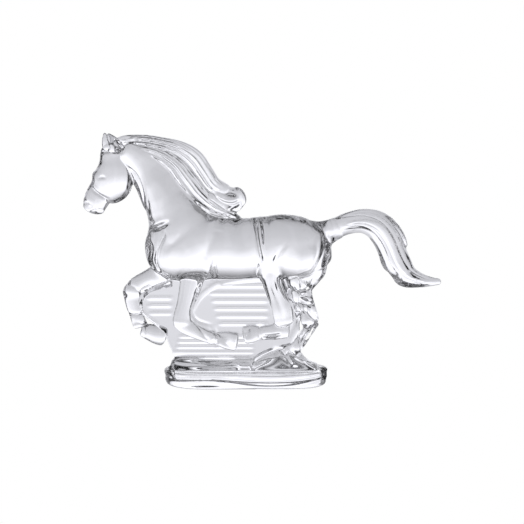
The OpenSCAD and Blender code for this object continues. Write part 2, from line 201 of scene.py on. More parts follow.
class Casting:
    """The grid that the glass is cast in: distance to the skin, and which mass each cell belongs to."""

    def __init__(self, cell):
        low = np.array(CAD_BOX[0]) / MM - 3
        high = np.array(CAD_BOX[1]) / MM + 3
        self.axes = [np.arange(np.floor(low[i] / cell) * cell + 0.31 * cell, high[i], cell) for i in range(3)]
        self.cell = cell
        shape = tuple(len(a) for a in self.axes)
        self.skin = np.full(shape, 30.0, np.float32)
        self.depth = np.full(shape, 30.0, np.float32)
        self.owner = np.zeros(shape, np.uint8)
        self.names = []

    def window(self, low, high):
        """The part of the grid between two corners."""
        return tuple(slice(max(int(np.searchsorted(a, lo)) - 1, 0), int(np.searchsorted(a, hi)) + 1)
                     for a, lo, hi in zip(self.axes, low, high))

    def add(self, name, where, d, soft):
        """Melts a mass into the casting; soft is the width of the rounded corner where they meet."""
        if name not in self.names:
            self.names.append(name)
        mark = self.names.index(name) + 1
        d = d.astype(np.float32)
        skin = self.skin[where]
        blend = np.maximum(soft - np.abs(skin - d), 0) / soft
        self.skin[where] = np.minimum(skin, d) - blend * blend * soft / 4
        nearer = d < self.depth[where]
        self.owner[where][nearer] = mark
        self.depth[where][nearer] = d[nearer]

    def sweep(self, m):
        """Adds a rounded body swept through the stations of a mass, with its relief."""
        half = m["half"]
        pts = placed([(s[0], s[1], s[2], s[3] * half) for s in m["stations"]])
        line = spline(pts, 16)
        wide = line[:, 2].max() + max(m["reach"]) + 7
        side_y = line[:, 3].max() + 7
        where = self.window((line[:, 0].min() - wide, m["row"] - side_y, line[:, 1].min() - wide),
                            (line[:, 0].max() + wide, m["row"] + side_y, line[:, 1].max() + wide))
        x, y, z = (a[w] for a, w in zip(self.axes, where))
        past, across, values, run, length = nearest(line, x, z)
        h, w = np.maximum(values[..., 0], 0.3), np.maximum(values[..., 1], 0.3)
        reach = np.where(past < 0, m["reach"][0], m["reach"][1])
        flat = across**2 + past**2
        scaled = (across / h)**2 + (past / reach)**2
        dy = (y - m["row"])[None, :, None]
        size = np.sqrt(flat[:, None, :] + dy**2)
        rho = np.sqrt(scaled[:, None, :] + (dy / w[:, None, :])**2)
        d = size * (1 - 1 / np.maximum(rho, 1e-4))
        d = np.where(rho < 0.05, -np.minimum(h, w)[:, None, :], d)
        for carve in m["relief"]:
            d = d + carve(x, y, z, across / h, run / length, dy)
        self.add(m["name"], where, d, m["soft"])


    def cut(self, points, width, depth, near=True, far=False, taper=0.25, inset=0.0):
        """Works a groove into whatever glass lies along a line."""
        line = placed(points)
        room = 3.2 * width + 1
        where = self.window((line[:, 0].min() - room, self.axes[1][0], line[:, 1].min() - room),
                            (line[:, 0].max() + room, self.axes[1][-1], line[:, 1].max() + room))
        x, y, z = (a[w] for a, w in zip(self.axes, where))
        carve = groove(points, width, depth, near, far, taper, inset)
        self.skin[where] += carve(x, y, z, 0, 0, y[None, :, None]).astype(np.float32)


# ---- Relief: grooves and ridges worked into the skin of a mass

def strands(count, depth, twist=0.0, wave=0.0):
    """Grooves that follow a lock from end to end."""
    def carve(x, y, z, v, u, dy):
        drift = twist * u + wave * np.sin(6.0 * u)
        turn = 2 * np.pi * count * (v + drift)
        rim = np.clip(1.4 - np.abs(v), 0, 1) * np.clip(u * 7, 0, 1) * np.clip((1 - u) * 7, 0, 1)
        near = 1 / (1 + np.exp(dy / 1.5))
        here = ((0.5 + 0.5 * np.cos(turn)) ** 2 * rim)[:, None, :]
        there = ((0.5 - 0.5 * np.cos(turn)) ** 2 * rim)[:, None, :]
        return depth * (here * near + 0.9 * there * (1 - near))
    return carve


def groove(points, width, depth, near=True, far=False, taper=0.25, inset=0.0):
    """A groove, or with a negative depth a ridge, along a line drawn on the sides of a mass. It runs out
    over the taper at each end, and keeps the inset away from the middle of the horse."""
    line = spline([(p[0], p[1], 0.0) for p in placed(points)], 6)

    def carve(x, y, z, v, u, dy):
        past, across, _, run, length = nearest(line, x, z)
        fade = np.clip(run / length / taper, 0, 1) * np.clip((1 - run / length) / taper, 0, 1)
        cut = depth * np.exp(-(np.hypot(past, across) / width)**2) * (0.25 + 0.75 * fade)
        sides = ((1 / (1 + np.exp((inset + dy) / 1.2)) if near else 0)
                 + (1 / (1 + np.exp((inset - dy) / 1.2)) if far else 0))
        return cut[:, None, :] * sides
    return carve


def swell(x0, z0, rx, rz, height):
    """A soft muscle standing out of both sides of a mass."""
    cx, cz = placed([(x0, z0)])[0]

    def carve(x, y, z, v, u, dy):
        bump = np.exp(-(((x - cx) / rx)**2)[:, None] - (((z - cz) / rz)**2)[None, :])
        return -height * bump[:, None, :]
    return carve


def both(points, width, depth, taper=0.25, inset=0.0):
    """A groove on the near and the far side."""
    return groove(points, width, depth, True, True, taper, inset)


# ---- The masses

def body_masses():
    """The barrel, the haunches and the two muscles of the breast."""
    folds = (
        both([(-20, 76), (-27, 70), (-36, 63), (-42, 58)], 5, -0.9),
        both([(-14, 75), (-20, 68), (-25, 58)], 4, 1.0),
        both([(-30, 78), (-37, 71), (-43, 65)], 3.4, 1.0),
        both([(-8, 75), (-3, 70), (0, 64)], 5, 0.6),
        swell(-34, 58, 10, 9, 1.0),
        swell(-5, 60, 12, 11, 0.8),
    )
    haunch = (
        both([(11.4, 85), (11.6, 78), (11.6, 70), (12, 64)], 3, 2, 0.5, 1.5),
        swell(29, 63, 9, 9, 1.4),
    )
    breast = [(-51.5, 68, 3, 0.7), (-50.5, 64, 3.4, 1), (-49, 59, 3, 0.7)]
    return [
        mass("trunk", 0, BODY, (2.2, 1.5), 1, [
            (-52.4, 66, 9, 0.5), (-49, 66, 13, 0.76), (-40, 66, 16.8, 0.96), (-26, 66.4, 17, 1),
            (-12, 66.5, 16.8, 1), (0, 66.4, 16.4, 0.98), (9, 67, 16.2, 0.95), (16, 67.6, 15, 0.88)], folds),
        mass("hindquarters", 0, BODY, (1.5, 2.2), 2.4, [
            (4, 66.8, 15.2, 0.9), (11, 67.2, 16.4, 0.97), (18, 67.6, 17.2, 1), (26, 67.6, 16.8, 1),
            (34, 66.8, 15.2, 0.92), (40, 67.2, 13, 0.76), (44.4, 68, 9.2, 0.5)], haunch),
        mass("trunk", -3.5, 6.5, (4, 5), 4, breast),
        mass("trunk", 3.5, 6.5, (4, 5), 4, breast),
    ]


def head_masses():
    """From the shoulders up the neck to the ears and the muzzle."""
    neck_lines = (
        both([(-63.5, 112), (-58.5, 106.5), (-55.6, 99), (-54.6, 91), (-53.4, 82)], 1.2, 1.2),
        both([(-58, 116), (-48, 108), (-41, 97), (-36, 86)], 4.5, 1.0),
        both([(-54, 104), (-48, 97), (-45, 88)], 2.6, -0.6),
        both([(-50, 114), (-42, 106), (-35, 95), (-29, 84)], 3.4, 0.9),
    )
    skull = (swell(-69.5, 104, 6, 7, 0.9),)
    return [
        mass("neck", 0, CREST, (2, 3), 8, [
            (-31, 68, 12, 0.8), (-34, 76, 15.4, 1.02), (-39, 86, 15.4, 0.98), (-43.5, 94.5, 14, 0.86),
            (-47.5, 101.6, 13, 0.76), (-52.5, 108, 11.4, 0.67), (-58.5, 114, 9.2, 0.6),
            (-65, 118.6, 7, 0.54)], neck_lines),
        mass("head", 0, CHEEK, (2, 1.4), 1.4, [
            (-73, 117.8, 6.6, 0.76), (-72.4, 113.8, 8, 0.86), (-72.2, 110, 9.4, 0.97), (-72.6, 106, 10.8, 1),
            (-74, 102.2, 11.6, 1), (-76.4, 99, 10.4, 0.93), (-79, 96.4, 7.9, 0.8)], skull),
        mass("muzzle", 0, CHEEK, (1, 3.2), 0.8, [
            (-78, 98.8, 7.6, 0.74), (-80.8, 94.8, 7.2, 0.74), (-82.4, 91.4, 6.8, 0.76),
            (-83.4, 88.4, 6, 0.7)]),
        mass("near_ear", -CHEEK * 0.62, 1.8, (2, 0.8), 0.8, [
            (-70, 119.4, 4.8, 1), (-71.4, 122.4, 4.4, 1.1), (-73, 125.6, 3.1, 0.9), (-74.6, 128.4, 1, 0.4)]),
        mass("far_ear", CHEEK * 0.62, 1.8, (2, 0.8), 0.8, [
            (-74.4, 119.6, 3.6, 0.9), (-75.6, 122.6, 3.5, 1), (-76.8, 125.8, 2.5, 0.8),
            (-77.6, 128.8, 0.8, 0.35)]),
        mass("forelock", 0, 2.6, (1, 0.8), 1.6, [
            (-70.5, 121.2, 2.4, 1), (-74.4, 121.6, 2.4, 1), (-77.4, 120, 1.8, 0.8),
            (-78.6, 117.6, 0.9, 0.4)]),
    ]


def mane_masses(depth):
    """The two long locks of the mane and its curled end."""
    return [
        mass("mane_lower_lock", 0, LOCK, (2, 1), 1.2, [
            (-58, 120.5, 3.4, 0.66), (-48, 117.6, 4.6, 0.84), (-39, 112, 6, 0.98), (-32.5, 103.5, 7, 1.06),
            (-26, 95, 6.8, 1.02), (-18, 88.6, 5.4, 0.94), (-11, 85.6, 3.6, 0.8), (-4, 82.6, 1.6, 0.5)],
            (strands(1.5, depth, 0.3, 0.1),)),
        mass("mane_upper_lock", 0, LOCK, (1.5, 2.4), 0.9, [
            (-70.5, 124.8, 1.8, 0.3), (-66, 125, 3.2, 0.5), (-56, 125, 3.6, 0.66), (-46, 123.4, 3.9, 0.76),
            (-36, 120.4, 4.8, 0.84), (-28.5, 115.4, 5.6, 0.86), (-23, 108, 5.4, 0.84), (-18, 101, 5, 0.8),
            (-11.5, 97.4, 4.2, 0.7)],
            (strands(1.3, depth, 0.25),)),
        mass("mane_curl", 0, LOCK, (2, 3.4), 0.9, [
            (-19, 93.6, 7, 0.82), (-12.5, 92.4, 8.2, 0.84), (-7, 93.2, 7.6, 0.74), (-3.6, 94.8, 5.4, 0.56)],
            (strands(1, depth, 0.5),
             both([(-20, 98), (-13, 92), (-7, 90.6), (-3.4, 93.4), (-4.6, 98)], 1.0, 0.9))),
    ]


def tail_masses(depth):
    """The root, the plume and the lock on the bend of the tail."""
    return [
        mass("tail_root", 0, BRUSH, (3, 1), 2.4, [
            (36, 72.4, 8.6, 1), (42.6, 74.2, 7.4, 0.92), (47, 76, 6.5, 0.94), (50.5, 77.6, 6, 0.9)],
            (strands(1, depth * 0.5),)),
        mass("tail_plume", 0, BRUSH, (1, 1.4), 0.8, [
            (49, 77, 5.6, 0.86), (56, 79.9, 6.1, 0.92), (64.5, 81.2, 6.9, 1), (72.3, 78.4, 8.1, 1.02),
            (77.4, 72, 8.2, 1), (80.2, 65, 7.9, 0.96), (83, 57.5, 8.2, 0.9), (88, 51.3, 7, 0.78),
            (95.5, 48.6, 4.4, 0.56), (102, 47.8, 2.6, 0.4), (106, 47.8, 1.8, 0.3)],
            (strands(1.25, depth * 0.85, 0.5, 0.2),
             both([(76, 55), (80, 51), (86, 50)], 2.6, 1.5))),
        mass("tail_side_lock", 0, BRUSH * 0.62, (1, 0.8), 0.8, [
            (62, 84.4, 2.6, 0.6), (70, 84.6, 2.8, 0.9), (77, 81.6, 3, 1), (82.4, 76.4, 2.9, 1),
            (86, 71, 2.2, 0.8), (87.6, 67.6, 1.2, 0.5)], (strands(1, depth * 0.5),)),
    ]


def leg_masses():
    """The legs, upper part first, and their hooves."""
    elbow = ROW + 1.5
    far_gaskin = (both([(30, 50), (33.6, 45), (33.4, 38)], 1.4, 1.5),
                  both([(27, 44), (30.4, 40), (34.4, 38.6)], 1.1, 1.5),
                  both([(30.4, 36), (33, 30), (37.5, 27)], 1.2, 1.5))
    far_cannon = (both([(37, 25), (32.6, 18.6), (28, 12)], 1.0, 1.3),
                  both([(38.6, 21.5), (34.5, 20.4), (31, 22)], 0.9, 1.1))
    lead_knee = (both([(-66, 46), (-62.4, 43), (-59.4, 40)], 1.2, 0.9),
                 both([(-52, 46.4), (-58, 43.4), (-60.4, 38)], 1.0, 1.1))
    return [
        mass("near_foreleg", -elbow, LEG, (1, 2), 3.5, [
            (-25.5, 66, 7, 0.8), (-27, 58, 7, 1.12), (-29.2, 50, 6.4, 1.14), (-31, 43, 5.6, 1.08),
            (-33, 36, 4.8, 1.02), (-34.8, 29.5, 4.8, 1), (-35.2, 26.8, 4.8, 1)]),
        mass("near_foreleg", -ROW, LEG, (2.6, 1), 2, [
            (-36, 26.6, 4.4, 1), (-33, 23.8, 4.4, 0.95), (-28, 21, 3.8, 0.85), (-22, 18.7, 3.6, 0.82),
            (-17.5, 17.4, 4, 0.9)]),
        mass("near_fore_hoof", -ROW, LEG * 1.1, (0.6, 1.2), 0.8, [
            (-17.2, 17.4, 3.4, 0.7), (-11.5, 16.3, 4.8, 0.9), (-5.5, 15.3, 5.1, 1)]),
        mass("far_foreleg", elbow, LEG, (1, 3), 3.5, [
            (-44, 52, 8.4, 1.25), (-52, 48.4, 6.4, 1.15), (-60, 44.6, 5.6, 1.1), (-63.6, 41.6, 5, 1)],
            lead_knee),
        mass("far_foreleg", ROW, LEG, (2.6, 1), 2, [
            (-64, 42, 4.6, 1), (-62.6, 34.5, 4.3, 0.92), (-60.8, 28, 3.8, 0.84), (-58.8, 22.5, 4.1, 0.88)]),
        mass("far_fore_hoof", ROW, LEG * 1.1, (0.6, 2), 0.8, [
            (-58, 20.4, 3.6, 0.7), (-53.4, 18.8, 4.8, 0.85), (-49.4, 17.6, 5.6, 1), (-46.2, 16.6, 5.4, 1)]),
        # the thick of the thigh, out to the far side of the web
        mass("near_hindleg", 1.5, 9.5, (4, 4), 3, [
            (13.6, 68, 6, 0.9), (13.8, 60, 7, 1), (14.4, 52, 6.2, 1), (15.4, 46, 5.2, 0.9),
            (17.2, 39, 4.8, 0.76), (19.6, 32, 4.6, 0.66), (20.8, 27, 3.6, 0.5)]),
        mass("near_hindleg", -elbow, LEG, (4, 2), 4, [
            (14.4, 69, 4, 1), (13.6, 65, 5, 1.26), (13.2, 59, 5.2, 1.34), (13.4, 53, 5, 1.26),
            (14.8, 47, 4.9, 1.16),
            (17.7, 39, 5, 1.08), (20.3, 31.5, 5.7, 1.02), (21.6, 26.4, 5.8, 1)],
            (groove([(13.6, 52), (15.8, 44), (19.2, 34), (20.6, 27)], 1.5, -0.6),)),
        mass("near_hindleg", -ROW, LEG, (2.6, 1), 2, [
            (21.6, 22.2, 5, 1), (16, 20.9, 4.4, 0.9), (11.5, 20.4, 4, 0.85), (8.5, 20.2, 4, 0.9)]),
        mass("near_hind_hoof", -ROW, LEG * 1.1, (0.6, 1.2), 0.8, [
            (8.7, 20.3, 3.4, 0.7), (4, 19.8, 4.8, 0.9), (-0.5, 19, 4.9, 1)]),
        mass("far_hindleg", elbow, LEG, (1, 3), 3, [
            (30.6, 64, 15, 1.6), (31.8, 55, 13.2, 1.6), (31.2, 50, 10.8, 1.5), (30.4, 45, 7.8, 1.35),
            (30.2, 41.6, 6.5, 1.2), (31.2, 36, 6.3, 1.1), (33.4, 30, 6, 1.05), (35.4, 25.2, 5.4, 1)],
            far_gaskin),
        mass("far_hindleg", ROW, LEG, (2.6, 1), 2, [
            (36.2, 24.8, 4.6, 1), (32.6, 18.4, 4, 0.9), (29.4, 13, 3.7, 0.85), (26.5, 10.2, 4, 0.9)],
            far_cannon),
        mass("far_hind_hoof", ROW, LEG * 1.1, (0.6, 1.2), 0.8, [
            (26.8, 10.2, 3.4, 0.7), (19, 7.2, 4.6, 0.92), (11, 4.2, 4.6, 1), (5.5, 2.4, 3.4, 0.94)]),
    ]


WEB_OUTLINE = [
    (-40, 0), (-39.5, 5.5), (-40.5, 9), (-42.5, 13.5), (-45, 20), (-51, 25), (-57, 30), (-59, 36), (-58, 41),
    (-50, 45.5), (-38, 50), (-20, 52), (0, 54), (14, 56), (27, 55), (30, 46), (29, 38), (31, 30),
    (30, 22), (29, 14), (30.5, 8), (34, 4), (40, 0),
]
# Ribs of the web: left end, right end, height of the lowest, how many, lean of the left ends, pitch.
RIB_PANELS = [(-13, 10, 24.6, 6, -1.2, 4.2), (-51, -43, 30.4, 3, -0.8, 4.2), (-38, 2, 6, 5, 0.8, 2.9)]
# Raised rims round the ribbed panels.
WEB_RIMS = [
    [(-28, 25), (-29.6, 30), (-28.6, 34), (-25.6, 39), (-21, 43), (-16, 46), (-9, 47.6), (2, 49), (9, 49.6)],
    [(-55, 42.4), (-58, 38), (-58.4, 33), (-56, 28.6), (-50, 24)],
]
RIB_HALF, RIB_END = 0.58, 3  # half width, and the length over which an end runs out
RIM_STANDS, RIM_HALF = 0.6, 0.9
FACE_INSET = 0.3  # the faces lie this far inside the part's, so that the ribs stay within its width
ROOM = 8  # how far round a mass its field is worked out


def outline_distance(outline, x, z):
    """Distance of each point of an x, z map from a closed outline, negative inside it."""
    gx, gz = np.meshgrid(x, z, indexing="ij")
    inside = np.zeros(gx.shape, bool)
    edge = np.full(gx.shape, 1e9)
    loop = np.vstack([outline, [outline[0]]])
    for a, b in zip(loop[:-1], loop[1:]):
        d = b - a
        t = np.clip(((gx - a[0]) * d[0] + (gz - a[1]) * d[1]) / (d @ d), 0, 1)
        edge = np.minimum(edge, np.hypot(gx - a[0] - t * d[0], gz - a[1] - t * d[1]))
        crossing = (a[1] > gz) != (b[1] > gz)
        reach = a[0] + (gz - a[1]) * d[0] / (d[1] if d[1] else 1e-9)
        inside ^= crossing & (gx < reach)
    return np.where(inside, -edge, edge)


def add_web(cast, rib_height):
    """The upright web, with its ribs and the rims of its panels on both faces."""
    outline = placed(WEB_OUTLINE)
    where = cast.window((outline[:, 0].min() - ROOM, -WEB - ROOM, BASE_TOP - 4),
                        (outline[:, 0].max() + ROOM, WEB + ROOM, outline[:, 1].max() + ROOM))
    x, y, z = (a[w] for a, w in zip(cast.axes, where))
    gx, gz = x[:, None], z[None, :]
    flat = outline_distance(outline, x, z)
    relief = np.zeros_like(flat)
    for left, right, low, count, lean, pitch in RIB_PANELS:
        for k in range(count):
            (x0, z0), (x1, _) = placed([(left + lean * k, low + pitch * k), (right, low)])
            fade = np.clip((gx - x0) / RIB_END + 1, 0, 1) * np.clip((x1 - gx) / RIB_END + 1, 0, 1)
            relief = np.maximum(relief, rib_height * fade * np.exp(-((gz - z0) / RIB_HALF)**2))
    for path in WEB_RIMS:
        past, across, _, _, _ = nearest(spline([(p[0], p[1], 0.0) for p in placed(path)], 6), x, z)
        relief = np.maximum(relief, RIM_STANDS * np.exp(-(np.hypot(past, across) / RIM_HALF)**2))
    face = np.abs(y)[None, :, None] - (WEB + relief[:, None, :] - FACE_INSET)
    rim = flat[:, None, :]
    outside = np.sqrt(np.maximum(face, 0)**2 + np.maximum(rim, 0)**2)
    d = np.minimum(np.maximum(face, rim), 0) + outside
    cast.add("support_web", where, d, 0.7)


# Lines cut into the finished casting: the points, width, depth, near side, far side, taper, inset.
LINES = [
    # the crease between the neck and the chest, and the folds under it
    ([(-52, 76.6), (-49.6, 77.4), (-46.4, 78.8), (-42, 81)], 1.3, 4.6, True, False, 0.4, 4),
    ([(-45.6, 79.4), (-44, 74.6), (-47.4, 67), (-48.6, 60), (-46.6, 55)], 0.9, 1.6, True, False, 0.3, 3),
    ([(-52.6, 72), (-51, 66), (-52, 60), (-50, 55.6)], 0.9, 3.2, True, False, 0.3, 2),
    # the flank and the elbow
    ([(4.6, 83), (5.8, 77), (6.8, 70), (8.2, 63), (8.6, 60)], 0.9, 2.8, True, True, 0.12, 4),
    ([(-17.3, 62), (-18.2, 57), (-18.6, 52), (-18, 48.6)], 0.7, 2.4, True, False, 0.3, 4),
    ([(-17.2, 62), (-16.4, 57), (-16, 52), (-16.6, 48.6)], 0.7, 2.4, True, False, 0.3, 4),
    # under the point of the withers
    ([(-18, 76.4), (-11, 75.4), (-5, 77)], 1.0, 0.8, True, False, 0.4, 6),
    # the haunch, the stifle and the hock
    ([(22, 70), (18, 65), (15.6, 59.6), (15.8, 56)], 1.3, 1.3, True, False, 0.5, 8),
    ([(23.6, 49), (28, 50.4), (35, 54)], 0.9, 1.6, True, True, 0.3, 6),
    ([(25.6, 37), (26.8, 31), (26.8, 25), (24, 18.6)], 1.1, 3.2, True, False, 0.4, 3),
    ([(42, 78), (43.4, 71), (41.6, 62), (38.2, 53), (35.4, 46)], 2.2, 6.4, True, False, 0.3, 1),
    ([(27.4, 36.4), (31, 34.6), (36.4, 34)], 1.0, 3.4, True, True, 0.4, 2),
    ([(33.6, 33), (35, 28), (39.6, 24.6)], 0.9, 2.4, True, True, 0.4, 2),
    ([(30, 31), (29.4, 25), (31.6, 20)], 0.9, 2.4, True, True, 0.4, 2),
    ([(31.4, 22), (28.4, 17.6), (25.4, 13.4)], 0.8, 2.8, True, True, 0.4, 2),
    ([(37.6, 22), (34.6, 17), (31, 12)], 0.8, 2.4, True, True, 0.4, 2),
    ([(26.4, 45), (30, 42), (34.6, 44), (36, 49)], 1.0, 2.8, True, True, 0.4, 2),
    ([(16, 10.6), (20, 8.4), (24, 3.4)], 1.1, 1.8, True, True, 0.4, 2),
    ([(18.4, 51), (20.6, 44), (23.4, 38)], 0.9, 2.2, True, True, 0.3, 3),
    ([(18.4, 19.8), (14, 18.8), (10, 19)], 0.9, 3.4, True, False, 0.4, 2),
    ([(-25, 49), (-28.6, 38), (-29.6, 31.4), (-26.6, 26.6), (-19, 24.2)], 0.8, 1.6, True, False, 0.2, 2),
    # knees, fetlocks and the bands over the hooves
    ([(-20.6, 22.4), (-19.8, 18.6), (-20.6, 14.6)], 1.2, 0.6, True, True, 0.3, 3),
    ([(-16.6, 21.6), (-15.6, 17), (-16.8, 12.6)], 0.8, 0.9, True, True, 0.3, 3),
    ([(8.2, 25), (7.4, 20.4), (8.2, 15.6)], 0.8, 0.8, True, True, 0.3, 3),
    ([(-60.4, 24.6), (-56.6, 22.6), (-55.6, 18)], 0.9, 1.3, True, True, 0.3, 3),
    ([(-65, 30), (-61.4, 28.8), (-58, 29.4)], 0.9, 0.9, True, True, 0.3, 3),
    # the sole of the hoof on the ground
    ([(4, 2.6), (8, 5), (13, 7.4), (20, 10.4)], 1.0, 7, True, False, 0.4, 0.5),
    ([(24, 10), (27, 7), (31, 4.4)], 0.9, 1.8, True, True, 0.5, 1),
    # the eye, the nostril, the mouth and the line round the muzzle
    ([(-79.6, 104.9), (-78.2, 105.5), (-76.6, 105.1)], 0.7, 2.4, True, False, 0.4, 2),
    ([(-84, 99.6), (-82.2, 97.6), (-79, 95.4), (-75, 93.4)], 0.8, 2.4, True, False, 0.3, 1.5),
    ([(-86.2, 92), (-85.6, 90.6), (-84.4, 90.2)], 0.7, 1.2, True, True, 0.3, 2.5),
    ([(-86, 87.2), (-83.6, 87.6), (-81.4, 88.8)], 0.5, 0.8, True, True, 0.2, 1.5),
    # the edges of the ear
    ([(-75.6, 125.6), (-74.8, 122.6), (-74.2, 120)], 0.6, 1.3, True, False, 0.2, 1),
    ([(-71.8, 126.2), (-69.6, 123.2), (-67, 120.6)], 0.6, 1.3, True, False, 0.2, 1),
    ([(-75.4, 118.8), (-71, 118.7), (-66.4, 118.9)], 0.7, 1.0, True, True, 0.1, 3),
    # the ends of the base
    ([(42.4, -6.5), (43.4, -2.5), (41.6, 0.4)], 1.2, 3.8, True, False, 0.3, 1.5),
    ([(-39, -2), (-41.4, 0.6), (-40, 3)], 1.0, 3.2, True, False, 0.3, 1.5),
    # ledges of the ground
    ([(-44, 3.4), (-38, 2.8), (-24, 2.4), (-4, 2.2)], 1.0, 1.2, True, True, 0.1, 4),
    ([(-43, 7), (-36, 6), (-22, 4.8), (-6, 4)], 0.9, 1.0, True, True, 0.1, 3),
]


def add_ground(cast):
    """The swell of ground, low in front and high under the hind hoof; the two ledges in front are cut later
    with the other lines.
    """
    ground = mass("ground_swell", 0, 14.5, (2.6, 1.6), 1.5, [
        (-39.5, 0, 5, 0.7), (-34, 0, 6.4, 0.9), (-20, 0, 5.4, 0.97), (0, 0, 4.6, 1), (12, 0, 5.6, 1),
        (21, 0, 8.4, 0.97), (28, 0, 8.2, 0.92), (33.5, 0, 4.6, 0.86), (38.5, 0, 2.4, 0.8)],
        (both([(16, 5), (26, 5), (36, 2)], 4, 0.8),))
    cast.sweep(ground)


def add_base(cast, draft=1.2, lower_edge=2.0, upper_edge=1.6, wave=0.16):
    """The oval plate: flat underside, rounded lower edge, softly waved side leaning in, softened
    upper edge."""
    straight, round_off = (BASE_LENGTH - BASE_DEPTH) / 2, BASE_DEPTH / 2
    where = cast.window((-BASE_LENGTH, -BASE_DEPTH, -ROOM), (BASE_LENGTH, BASE_DEPTH, BASE_TOP + ROOM))
    x, y, z = (a[w] for a, w in zip(cast.axes, where))
    out = np.hypot(np.maximum(np.abs(x)[:, None] - straight, 0), y[None, :])[:, :, None] - round_off
    sway = (1.4 * z)[None, :] + 1.6 * np.sin(0.09 * x + 0.4)[:, None]
    out = out + wave * (1 + np.sin(sway))[:, None, :]
    lean = draft * (1 - z / BASE_TOP)[None, None, :]
    radius = np.where(z < BASE_TOP / 2, lower_edge, upper_edge)[None, None, :]
    rim = out + lean + radius
    lid = np.abs(z - BASE_TOP / 2)[None, None, :] - BASE_TOP / 2 + radius
    d = np.sqrt(np.maximum(rim, 0)**2 + np.maximum(lid, 0)**2) + np.minimum(np.maximum(rim, lid), 0) - radius
    cast.add("base_plate", where, d, 2.4)
    under = cast.axes[2] < 0
    cast.skin[:, :, under] = np.maximum(cast.skin[:, :, under], -cast.axes[2][under])


# ---- From the casting to closed pieces

def marks_of(cast, rounds=4):
    """Which mass each solid cell belongs to, with lone cells handed to the mass around them."""
    mark = np.where(cast.skin < 0, cast.owner, 0).astype(np.uint8)
    for _ in range(rounds):
        alike = np.zeros(mark.shape, np.uint8)
        other = np.zeros_like(mark)
        for axis in range(3):
            for step in (1, -1):
                beside = np.roll(mark, step, axis)
                alike += beside == mark
                other = np.where((beside > 0) & (beside != mark), beside, other)
        mark = np.where((mark > 0) & (alike < 2) & (other > 0), other, mark)
    return mark


SEAM_PULL, SEAM_ROUNDS = 1e-6, 6  # where a seam meets the skin, the skin decides


def crossings(cast, mark, axis, stride):
    """Where a cell and the next one along an axis differ: the face between them, their marks and the
    point where the line between them passes through the glass's skin."""
    low = [slice(0, n) for n in mark.shape]
    high = [slice(0, n) for n in mark.shape]
    low[axis], high[axis] = slice(0, mark.shape[axis] - 1), slice(1, mark.shape[axis])
    here, there = mark[tuple(low)], mark[tuple(high)]
    at = np.argwhere(here != there)
    beyond = at.copy()
    beyond[:, axis] += 1
    pair = np.stack([here[tuple(at.T)], there[tuple(at.T)]], axis=1)
    fa, fb = cast.skin[tuple(at.T)], cast.skin[tuple(beyond.T)]
    outer = (pair == 0).any(axis=1)
    share = np.where(outer, fa / np.where(fa == fb, 1, fa - fb), 0.5)
    point = at.astype(float)
    point[:, axis] += np.clip(share, 0, 1)
    u, v = (axis + 1) % 3, (axis + 2) % 3
    corner = at @ stride
    quad = np.stack([corner - stride[u] - stride[v], corner - stride[v], corner, corner - stride[u]], axis=1)
    return quad, pair, point


def skin_of(cast, rounds):
    """Points and four-sided faces between every two cells that differ, shared by the pieces on both sides."""
    mark = marks_of(cast)
    stride = np.array([mark.shape[1] * mark.shape[2], mark.shape[2], 1])
    quads, pairs, points = (np.vstack(rows) for rows in zip(
        *(crossings(cast, mark, axis, stride) for axis in range(3))))
    cells, index = np.unique(quads, return_inverse=True)
    index = index.reshape(quads.shape)
    outer = (pairs == 0).any(axis=1)
    total = len(cells)
    weight = np.where(outer, 1.0, SEAM_PULL)
    place = np.zeros((total, 3))
    share = np.bincount(index.ravel(), np.repeat(weight, 4), total)
    for k in range(3):
        place[:, k] = np.bincount(index.ravel(), np.repeat(weight * points[:, k], 4), total) / share
    place = np.array([a[0] for a in cast.axes]) + place * cast.cell
    on_skin = np.zeros(total, bool)
    on_skin[index[outer].ravel()] = True
    place = polish(place, index[outer], on_skin, rounds)
    place = polish(place, index[~outer], ~on_skin, SEAM_ROUNDS)
    return place, index, pairs, outer


def polish(place, quads, free, rounds):
    """Evens out the free points without letting the skin shrink."""
    ends = np.vstack([quads[:, [k, (k + 1) % 4]] for k in range(4)])
    links = np.bincount(ends[:, 0], minlength=len(place)) + np.bincount(ends[:, 1], minlength=len(place))
    links = np.maximum(links, 1)
    underside = np.abs(place[:, 2]) < 0.3
    free = free & ~underside
    shrink, grow = 0.5, -0.52
    for step in range(2 * rounds):
        rate = shrink if step % 2 == 0 else grow
        for k in range(3):
            row = place[:, k]
            mean = (np.bincount(ends[:, 0], row[ends[:, 1]], len(place))
                    + np.bincount(ends[:, 1], row[ends[:, 0]], len(place))) / links
            place[:, k] = np.where(free, row + rate * (mean - row), row)
    return place


def face_normals(place, quads):
    n = np.cross(place[quads[:, 2]] - place[quads[:, 0]], place[quads[:, 3]] - place[quads[:, 1]])
    return n / np.maximum(np.linalg.norm(n, axis=1, keepdims=True), 1e-12)


def point_normals(place, quads):
    n = face_normals(place, quads)
    total = np.zeros_like(place)
    for k in range(3):
        total[:, k] = np.bincount(quads.ravel(), np.repeat(n[:, k], 4), len(place))
    return total / np.maximum(np.linalg.norm(total, axis=1, keepdims=True), 1e-12)


